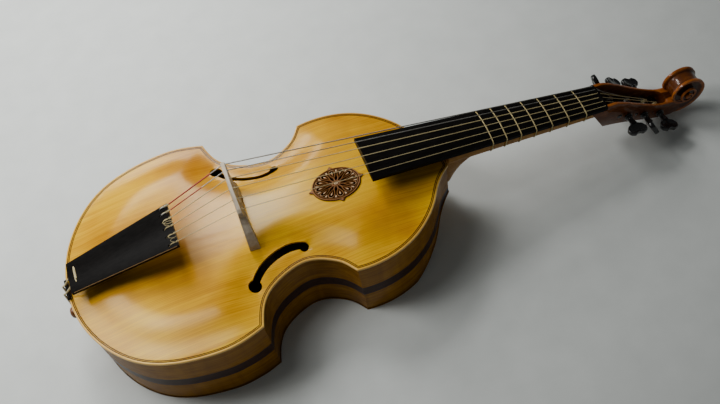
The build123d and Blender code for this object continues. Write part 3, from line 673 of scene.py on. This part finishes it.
def make_rosette(look):
    """Carved openwork: a double ring, a hub, petals with a stem, a vein and a bud each, and four cusps."""
    low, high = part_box("rosette")
    centre = (low + high) / 2
    radius = (high.y - low.y) / 2 / ROSE_TIP * ROSE_RING
    inset = 0.01
    near = top_at("rosette", low.x + inset)
    far = top_at("rosette", high.x - inset)
    fall = (far - near) / (high.x - low.x - 2 * inset)
    shape, relief = Shape(), []

    def place(x, y, z):
        """A point of the round pattern, in units of its radius, set into the sloping top."""
        x, y = x * radius * ROSE_STRETCH, y * radius
        return Vector((centre.x + x, centre.y + y, near + fall * (x + (high.x - low.x) / 2) + z))

    def ridge(path, width, height, base=-0.0028, closed=True, tone=0.6):
        """A carved rib along a path: steep sides and a rounded top; tone is how pale its crest is, partly a
        painted highlight, and its foot is painted dark as shade.
        """
        profile = [(-1, base), (-1, height * 0.35), (-0.6, height * 0.85), (0, height), (0.6, height * 0.85),
                   (1, height * 0.35), (1, base)]
        # painted shade at the foot of each side, painted highlight on the crest
        tones = [0.0, 0.25, 0.8, 1.0, 0.8, 0.25, 0.0]
        count = len(path)
        rings = []
        for i, (x, y) in enumerate(path):
            x0, y0 = path[i - 1] if i or closed else path[0]
            x1, y1 = path[(i + 1) % count] if i < count - 1 or closed else path[-1]
            length = math.hypot(x1 - x0, y1 - y0)
            nx, ny = -(y1 - y0) / length, (x1 - x0) / length
            wide = width(i / count) if callable(width) else width
            rings.append([place(x + nx * wide * side, y + ny * wide * side, z) for side, z in profile])
            paler = tone(i / count) if callable(tone) else tone
            relief.extend(t * paler for t in tones)
        shape.rings(rings, closed=closed)

    def ray(angle, reaches):
        """Points along a ray from the middle."""
        return [(r * math.cos(angle), r * math.sin(angle)) for r in reaches]

    def circle(r, count=96):
        return [(r * math.cos(a), r * math.sin(a)) for a in around(count)]

    ridge(circle(0.960), 0.036, 0.0019, tone=0.72)
    ridge(circle(0.880), 0.020, 0.0015, tone=0.72)
    ridge(circle(0.15, 40), 0.055, 0.0022)
    ridge(circle(0.055, 24), 0.05, 0.0026, tone=0.95)
    for turn in around(ROSE_PETALS):
        cos, sin = math.cos(turn), math.sin(turn)
        petal = []
        for a in around(36):
            along = 0.60 + 0.245 * math.cos(a)
            across = 0.155 * math.sin(a) * (0.72 + 0.36 * math.cos(a))
            petal.append((along * cos - across * sin, along * sin + across * cos))
        # petals paler towards their tips: a painted highlight
        ridge(petal, 0.026, 0.0023, tone=lambda t: 0.7 + 0.2 * max(0.0, math.cos(2 * math.pi * t)) ** 2)
        ridge(ray(turn, (0.18, 0.24, 0.30, 0.36)), lambda t: 0.03 + 0.02 * t, 0.002, closed=False)
        ridge(ray(turn, (0.40, 0.48, 0.55, 0.60, 0.65, 0.69, 0.725)),
              lambda t: 0.014 + 0.085 * math.sin(math.pi * t) ** 3 * t, 0.0026, closed=False,
              tone=lambda t: 0.55 + 0.6 * t)
        ridge(ray(turn + math.pi / ROSE_PETALS, (0.70, 0.75, 0.80, 0.84)), lambda t: 0.02 + 0.07 * t,
              0.0018, closed=False, tone=0.95)
    for turn in around(4):
        ridge(ray(turn, (0.97, 1.03, 1.09, 1.14)), lambda t: max(0.012, 0.15 - 0.19 * t), 0.0012, -0.0005,
              closed=False)
    shape.make("rosette_carved", look["rosette"], ROOT, "carved_rosette", ["rosette"], 50, ("relief", relief))


# ---------------- string ends at the tailpiece
STRINGS = range(1, 7)
SILK_ENDS = {5: 0.66, 6: 0.86}  # the wound strings, and how far their silk runs towards the bridge
SILK_STEP = 0.0016              # length of one turn of silk
KNOT_IN, HOLE_IN = 0.005, 0.013         # a string's knot and its hole, from the tailpiece's edge
WRAP_OUT, WRAP_STEP = 0.0005, 0.0022    # the turns of a knot round its string, from the same edge
CURL_STEPS, CURL_ANGLE = 14, 1.35       # a loose end's steps, and its sweep in half-turns


def string_radius(number):
    """Half the width of a CAD string, where it is clear of the bridge and the nut."""
    low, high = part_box(f"string_{number}")
    across = [p.y for p in crossings(f"string_{number}", (low.x + high.x) / 2 + 0.05)]
    return (max(across) - min(across)) / 2


def sleeve(number, start, end, radius):
    """Points and radii of a wrapping round a string between two places along X."""
    steps = max(6, int((end - start) / SILK_STEP))
    xs = [lerp(start, end, i / steps) for i in range(steps + 1)]
    a, b = centre_at(f"string_{number}", start), centre_at(f"string_{number}", end)
    points = [a.lerp(b, (x - start) / (end - start)) for x in xs]
    radii = [radius * (0.82 + 0.18 * (i % 2)) for i in range(len(points))]
    radii[0] = radii[-1] = radius * 0.55
    return points, radii


def make_string_ends(look):
    """Silk on the two wound strings, knots on all six and loose ends on the gut ones."""
    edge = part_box("tailpiece")[1].x
    silk = Shape()
    knots = Shape()
    for number in STRINGS:
        string, radius = f"string_{number}", string_radius(number)
        silked = number in SILK_ENDS
        if silked:
            end = lerp(edge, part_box("bridge")[0].x, SILK_ENDS[number])
            silk.tube(*sleeve(number, edge + 0.003, end, radius * 1.3), sides=12)
        at, hole = centre_at(string, edge - KNOT_IN), centre_at(string, edge - HOLE_IN)
        for k in range(3 if silked else 2):
            centre = centre_at(string, edge + WRAP_OUT - WRAP_STEP * k)
            ring = [centre + Vector((0.0004 * math.sin(a), math.cos(a) * (radius + 0.0009),
                                     math.sin(a) * (radius + 0.0007)))
                    for a in around(14)]
            knots.tube(ring, 0.00055 + 0.1 * radius, 6, closed=True)
        loop = [hole.lerp(at, t) + Vector((0, 0.0014 * math.sin(math.pi * t), 0.0005))
                for t in (0, 0.25, 0.5, 0.75, 1)]
        knots.tube(loop, radius * 0.8, 8)
        if not silked:
            side = 1 if number % 2 else -1
            reach = 0.0050 + 0.0011 * number
            curl = []
            for i in range(CURL_STEPS + 1):
                a = math.pi * CURL_ANGLE * i / CURL_STEPS
                curl.append(at + Vector((-reach * math.sin(a) * 0.9,
                                         side * (0.0012 + reach * (1 - math.cos(a)) * 0.5),
                                         0.0012 + 0.0016 * math.sin(a * 0.8))))
            knots.tube(curl, radius * 0.55, 8)
    silk.make("silk_ends", look["silk"], ROOT, "wound_string")
    knots.make("string_knots", look["gut"], ROOT, "gut")


# ---------------- frets
FRETS = range(1, 8)
FRET_GUT = 0.00048              # radius of the gut
FRET_LIFT = 0.00052             # its middle over the CAD band's inner face
FRET_APART = 0.00046            # half the distance between its two strands
FRET_SIDES = 64


def make_fret(number, look):
    """Gut tied twice round the neck, with its knot on the treble side."""
    node = f"fret_{number}"
    low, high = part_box(node)
    mesh = CAD[node].data
    tree = BVHTree.FromPolygons([v.co for v in mesh.vertices], [tuple(p.vertices) for p in mesh.polygons])
    centre = (low + high) / 2
    axis = Vector(next(j["axis"] for j in frame["joints"] if j["child"] == f"{node}_body")).normalized()
    side = Vector((0, 1, 0))
    up = axis.cross(side).normalized()
    if up.z < 0:
        up = -up
    ring = []
    for a in around(FRET_SIDES):
        way = side * math.cos(a) + up * math.sin(a)
        ring.append(tree.ray_cast(centre, way)[0] + way * FRET_LIFT)
    shape = Shape()
    for shift in (-1, 1):
        shape.tube([p + axis * FRET_APART * shift for p in ring], FRET_GUT, 8, closed=True)
    knot = min(ring, key=lambda p: p.y + 0.3 * abs(p.z - centre.z))
    for k in range(3):
        middle = knot + Vector((0, -0.0004, 0.0011 * (k - 1)))
        tie = [middle + axis * 0.0013 * math.cos(a) + side * 0.0008 * math.sin(a) for a in around(12)]
        shape.tube(tie, 0.00042, 6, closed=True)
    shape.make(f"tied_{node}", look["fret"], f"{node}_body", "gut", [node])


# ---------------- pegs and windings
PEG_SHAFT = (0.0052, 0.0061)    # radius at the far end and under the collar
COLLAR_IN = 0.0423              # the collar's inner face from the outer end
# collar and neck: millimetres outward from the collar's inner face, and more or less than the shaft's radius
COLLAR = [(0, 0), (0.4, 1.2), (1.4, 1.8), (2.6, 1.2), (3.2, -0.2), (3.8, 0.4), (4.8, 0.4), (5.6, -0.8),
          (10.0, -1.4), (15.0, -0.9), (20.5, 0)]
NECK_END = 0.0225               # where the neck ends, inside the thumb-piece
PEG_SHORT = 0.0002              # how far the peg stays within the CAD's outer end
THUMB_TOP = 0.0108              # the thumb-piece's middle from its outer end
THUMB_LENGTH = 0.03
THUMB_SIDES = 72
# the thumb-piece's edge, degrees from its outer end and millimetres from its middle
THUMB_EDGE = [(0, 9.3), (16, 10.6), (38, 15.4), (66, 18.9), (84, 19.0), (110, 16.2), (138, 13.2), (152, 12.6),
              (164, 17.5), (172, 21.0), (180, 21.5)]
# share of the way to the edge, and half-thickness in millimetres: faces scooped, rim thick and round
THUMB_FACE = [(0.02, 2.0), (0.25, 2.1), (0.45, 2.4), (0.6, 2.9), (0.72, 3.6), (0.81, 4.1), (0.88, 4.3),
              (0.93, 4.1), (0.97, 3.2), (0.992, 1.7)]
COIL_CORE = 0.0058              # radius of the peg under its string
COIL_PITCH, COIL_WIDEST = 2.15, 0.0019  # between turns, in radii of the string, and at most
COIL_STEPS = 22                 # points in one turn


def peg_axis(number):
    """Where a peg's joint is, and the side that its head is on."""
    joint = next(j for j in frame["joints"] if j["child"] == f"peg_{number}_body")
    low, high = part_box(f"peg_{number}")
    side = 1 if high.y > -low.y else -1
    return Vector(joint["pos_m"]), side


def thumb_angle(number, origin):
    """Rest angle of the CAD thumb-piece about the peg's axis."""
    mesh = CAD[f"peg_{number}"].data
    side = peg_axis(number)[1]
    reach = max(side * v.co.y for v in mesh.vertices)
    flat = [(v.co.x - origin.x, v.co.z - origin.z) for v in mesh.vertices
            if side * v.co.y > reach - THUMB_LENGTH]
    far = max(flat, key=lambda p: p[0] ** 2 + p[1] ** 2)
    return math.atan2(far[1], far[0])


def thumb_reach(angle):
    """Distance of the thumb-piece's edge from its middle in millimetres, by angle from the outer end."""
    for (a0, r0), (a1, r1) in zip(THUMB_EDGE, THUMB_EDGE[1:]):
        if angle <= a1:
            return lerp(r0, r1, smooth_step((angle - a0) / (a1 - a0)))
    return THUMB_EDGE[-1][1]


def make_peg(number, look):
    """Tapered shaft, turned collar and a heart-shaped thumb-piece with scooped faces."""
    origin, side = peg_axis(number)
    low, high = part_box(f"peg_{number}")
    tip = (high.y if side > 0 else -low.y) - PEG_SHORT
    far = low.y if side > 0 else -high.y
    collar = tip - COLLAR_IN
    axis = Vector((0, side, 0))
    shape = Shape()
    end, head = PEG_SHAFT
    bevel, point = 0.0006, 0.00005
    profile = [(far, point), (far, end - bevel), (far + bevel, end)]
    profile += [(collar + along * MM, head + more * MM) for along, more in COLLAR]
    shape.lathe(origin, axis, profile + [(collar + NECK_END, point)], 36)

    turn = thumb_angle(number, origin)
    across = Vector((math.cos(turn), 0, math.sin(turn)))
    thick = axis.cross(across)
    middle = origin + axis * (tip - THUMB_TOP)
    outline = []
    for i in range(THUMB_SIDES):
        a = 360 * i / THUMB_SIDES
        reach = thumb_reach(min(a, 360 - a)) * MM
        outline.append(axis * reach * math.cos(math.radians(a)) + across * reach * math.sin(math.radians(a)))
    face = [(share, half * MM) for share, half in THUMB_FACE]
    levels = face + [(1.0, 0.0)] + [(share, -half) for share, half in reversed(face)]
    shape.rings([[middle + p * share + thick * half for p in outline] for share, half in levels])
    shape.make(f"turned_peg_{number}", look["peg"], f"peg_{number}_body", "peg_black", [f"peg_{number}"], 50)


def make_winding(number, look):
    """The string's turns round its peg, side by side and slightly uneven."""
    origin, _ = peg_axis(number)
    low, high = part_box(f"winding_{number}")
    radius = string_radius(number)
    room = (high.z - low.z) / 2 - COIL_CORE - radius
    width = high.y - low.y - 2 * radius
    turns = max(2.0, width / min(COIL_PITCH * radius, COIL_WIDEST))
    steps = int(turns * COIL_STEPS)
    points = []
    for i in range(steps + 1):
        t = i / steps
        a = 2 * math.pi * turns * t
        lift = COIL_CORE + radius * 0.9 + min(room, 0.0002 * math.sin(a * 0.31 + number))
        points.append(Vector((origin.x + lift * math.cos(a), low.y + radius + width * t,
                              origin.z + lift * math.sin(a))))
    shape = Shape()
    shape.tube(points, radius, 8)
    kind, slot = ("wound", "wound_string") if number in SILK_ENDS else ("gut", "gut")
    shape.make(f"coil_{number}", look[kind], f"peg_{number}_body", slot, [f"winding_{number}"])


# ---------------- pegbox and scroll
SOFT = 0.0016                   # rounding of the cheeks' edges
# sections of the string box in millimetres: X, underside, top edge, floor, half-width, wall
STATIONS = [
    (668, 74, 127.4, 127, 29, 6.5), (671.2, 72.8, 121.9, 121.5, 28.9, 6.5),
    (671.4, 72.8, 132.5, 105, 28.9, 6.5), (676, 71.2, 131.8, 103.5, 28.5, 6.3),
    (684, 68.8, 131, 90, 28.1, 6.1), (692, 66, 128.5, 79, 27.7, 6),
    (704, 61.5, 121.5, 72.5, 27.1, 5.8), (718, 55.8, 112.5, 67, 26.3, 5.6),
    (733, 49.5, 101.5, 60, 25.4, 5.5), (748, 42.5, 90.5, 53, 24.5, 5.4),
    (763, 35.2, 80, 46.5, 23.6, 5.3), (778, 28, 70.5, 40, 22.6, 5.2),
    (790, 22.5, 63.8, 35, 21.5, 5.2), (800, 18.5, 59.2, 34.5, 20.5, 5.4),
    (806, 16.5, 57.2, 42, 20, 7), (810, 15.5, 56.2, 56, 19.7, 12),
    (820, 14, 55, 54.9, 19.2, 12.5), (838, 17, 50, 49.9, 18.8, 12.5),
]
THIN_FLOOR = 0.003              # a section whose floor is within this of its top edge is solid
BOX_RUB_AND_SHADE = [0.45, 0.45, 0.4, 0.35, 0.55, 1.0, 1.0, 0.9, 0.8, 0.4, 0.15, 0.1]     # how light each point is painted: bright on the top edges, rubbed and lit; painted shade down the cheeks and inside the box
SCROLL_RADIUS, SCROLL_HEIGHT = 0.041, 0.064     # radius of the volute, and its middle over the back
SCROLL_ROOT, SCROLL_SETTLE = 0.0505, 0.3        # radius where it leaves the box, and turns until it is round
SCROLL_START, SCROLL_STEPS = -128, 150          # its first angle in degrees, and its sections
TURNS = 2.6                     # its turns
VOLUTE_SHRINK = 0.50            # how much its radius shrinks in one turn
# how light each point of a scroll section is painted: bright on the rims, rubbed and lit; painted shade in
# the scoop and the groove
SCROLL_RUB_AND_SHADE = [0.1, 0.1, 0.2, 0.7, 1.0, 1.0, 1.0, 0.95, 0.7, 0.15, 0.3, 0.35]
# the eyes painted light like the rims
EYE_TONE = 0.8
EYE = [(0.0260, 0.0055), (0.0282, 0.0046), (0.0290, 0.0030), (0.0290, 0.0001)]
CORE = [(0.0145, 0.0175), (0.0145, 0.0001)]     # solid wood behind the flutes


def make_pegbox(look):
    """An open string box with curved cheeks, its first section leant to meet the fingerboard's end."""
    start_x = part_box("pegbox_scroll")[0].x
    rings = []
    for index, station in enumerate(STATIONS):
        x, under, top, floor, half, wall = (value * MM for value in station)
        inner = half - wall
        well = [top - SOFT * 0.3, top - SOFT, floor + 0.002, floor]
        if floor > top - THIN_FLOOR:
            well = [top] * len(well)
        profile = [(half - 0.006, under), (half - 0.0022, under + 0.0012), (half, under + 0.005),
                   (half, lerp(under, top, 0.5)), (half, top - SOFT), (half - SOFT * 0.3, top - SOFT * 0.3),
                   (half - SOFT, top), (inner + SOFT, top),
                   *zip((inner + SOFT * 0.3, inner, inner - 0.0003, inner - 0.002), well)]
        lean = (start_x - x) / (top - under) if index == 0 else 0
        ring = [Vector((x + lean * (z - under), y, z)) for y, z in profile]
        rings.append(ring + [Vector((p.x, -p.y, p.z)) for p in reversed(ring)])
    shape = Shape()
    shape.rings(rings)
    # painted light and shade at each point, mirrored for the far cheek
    relief = (BOX_RUB_AND_SHADE + BOX_RUB_AND_SHADE[::-1]) * len(rings)
    shape.make("pegbox_carved", look["head"], ROOT, "head_wood", ["pegbox_scroll"], 35, ("relief", relief))


def make_scroll(look):
    """A fluted volute that widens as it winds in, with a round eye on each side."""
    centre = Vector((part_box("pegbox_scroll")[1].x - SCROLL_RADIUS, 0, SCROLL_HEIGHT))
    sections = []
    for i in range(SCROLL_STEPS + 1):
        t = i / SCROLL_STEPS
        turns = TURNS * t
        a = math.radians(SCROLL_START) + 2 * math.pi * turns
        outer = lerp(SCROLL_ROOT, SCROLL_RADIUS, min(1.0, turns / SCROLL_SETTLE))
        outer *= VOLUTE_SHRINK ** max(0.0, turns - SCROLL_SETTLE)
        inner = outer * lerp(0.42, 0.35, t)
        half = 0.0188 + 0.0095 * smooth_step((turns - 0.55) / 1.7)
        scoop = 0.0032 * min(1.0, turns / 0.25) * lerp(1, 0.5, t)
        rim = lerp(0.0062, 0.0026, t)
        groove = lerp(0.0050, 0.0028, t) * min(1.0, 0.3 + turns / 0.25)
        way = Vector((math.cos(a), 0, math.sin(a)))
        profile = [(inner, half - scoop), (lerp(inner, outer, 0.35), half - scoop * 1.25),
                   (lerp(inner, outer, 0.66), half - scoop), (outer - rim, half - scoop * 0.35),
                   (outer - rim * 0.75, half - 0.0005), (outer - rim * 0.25, half), (outer, half - 0.0008),
                   (outer, half - rim * 0.9), (outer - 0.0010, half - rim * 1.15),
                   (outer - groove * 0.85, half - rim * 1.5), (outer - groove, half * 0.45),
                   (outer - groove, 0)]
        near = [centre + way * r + Vector((0, -y, 0)) for r, y in profile]
        far = [centre + way * r + Vector((0, y, 0)) for r, y in reversed(profile[:-1])]
        sections.append(near + far)
    shape = Shape()
    shape.rings(sections)
    # painted light and shade at each point, mirrored for the far side
    relief = (SCROLL_RUB_AND_SHADE + SCROLL_RUB_AND_SHADE[-2::-1]) * len(sections)
    for half_profile, sides in ((EYE, 32), (CORE, 48)):
        profile = [(-along, r) for along, r in reversed(half_profile)] + half_profile
        shape.lathe(centre, (0, 1, 0), profile, sides)
    relief += [EYE_TONE] * (len(shape.verts) - len(relief))
    shape.make("scroll_carved", look["head"], ROOT, "head_wood", sharp=45, attribute=("relief", relief))


# ---------------- tailpiece and button
BAR_IN = 0.013                  # the bar's middle from the tailpiece's lower end
BAR_REACH, BAR_HALF, BAR_THICK = 0.0155, 0.0019, 0.0016     # half its length, width and thickness
EDGE_IN, EDGE_LINE = 0.004, 0.0007      # where the edge lines stop, and their radius
TRIM_STEPS = 12


def make_tailpiece_trim(look):
    """A pale bar that the tailgut passes under, and a brown line along each long edge."""
    low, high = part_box("tailpiece")
    bar_x = low.x + BAR_IN
    top = top_at("tailpiece", bar_x)
    bar = Shape()
    rings = []
    for i in range(TRIM_STEPS + 1):
        out = 2 * i / TRIM_STEPS - 1
        z = top - 0.0006 - 0.0009 * out ** 2
        half = BAR_HALF * math.sqrt(max(0.1, 1 - out ** 6))
        rings.append([Vector((bar_x + half * math.cos(a), BAR_REACH * out, z + BAR_THICK * math.sin(a)))
                      for a in around(12)])
    bar.rings(rings)
    bar.make("tailpiece_bar", look["bone"], ROOT, "ebony")

    line = Shape()
    for side in (-1, 1):
        points = []
        for i in range(TRIM_STEPS + 1):
            x = lerp(low.x + EDGE_IN, high.x - EDGE_IN, i / TRIM_STEPS)
            found = [p for p in crossings("tailpiece", x) if p.y * side > 0]
            reach = max(p.y * side for p in found)
            z = max(p.z for p in found if p.y * side > reach - 0.0005)
            points.append(Vector((x, side * (reach - 0.0001), z - 0.0009)))
        line.tube(points, EDGE_LINE, 6)
    line.make("tailpiece_edges", look["line"], ROOT, "ebony")


def make_button(look):
    """Turned end button: a domed head, a narrow waist, a bead and the shaft that goes into the body."""
    low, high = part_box("end_button")
    middle = (low + high) / 2
    length = high.x - low.x
    profile = [(0, 0.0001), (0.0002, 0.003), (0.0010, 0.0062), (0.0026, 0.0090), (0.0050, 0.0107),
               (0.0072, 0.0109), (0.0086, 0.0103), (0.0094, 0.0090), (0.0100, 0.0066), (0.0112, 0.0056),
               (0.0150, 0.0052), (0.0172, 0.0056), (0.0178, 0.0072), (0.0184, 0.0084), (0.0196, 0.0086),
               (0.0206, 0.0084), (0.0209, 0.0045), (length, 0.0044), (length, 0.0001)]
    shape = Shape()
    shape.lathe((low.x, middle.y, middle.z), (1, 0, 0), profile, 48)
    shape.make("turned_button", look["button"], ROOT, "button_wood", ["end_button"], 40)


def dress_cad(look):
    """Materials for the CAD nodes that stay as they are."""
    ribs = [f"rib_{bout}_{side}" for bout in ("lower", "waist", "upper") for side in ("treble", "bass")]
    kinds = {"back": ["back_lower"],
             "maple": ["back_upper"] + ribs,
             "inlay": ["rib_bands"],
             "inner": ["lining_top", "lining_back", "tail_block", "neck_block", "corner_blocks", "bass_bar",
                       "sound_post", "post_plate", "back_braces"],
             "neck": ["neck"],
             "ebony": ["fingerboard", "nut", "saddle", "tailpiece"],
             "bridge": ["bridge"],
             "gut": ["tailgut", "string_1", "string_2", "string_3", "string_4"],
             "wound": ["string_5", "string_6"]}
    for kind, nodes in kinds.items():
        for node in nodes:
            dress(node, look[kind])


# ---------------- everything
make_camera()
make_lights()
make_floor()
materials = make_materials()
dress_cad(materials)
make_top(materials)
make_purfling(materials)
make_rosette(materials)
make_string_ends(materials)
for fret_number in FRETS:
    make_fret(fret_number, materials)
for string_number in STRINGS:
    make_peg(string_number, materials)
    make_winding(string_number, materials)
make_pegbox(materials)
make_scroll(materials)
make_tailpiece_trim(materials)
make_button(materials)
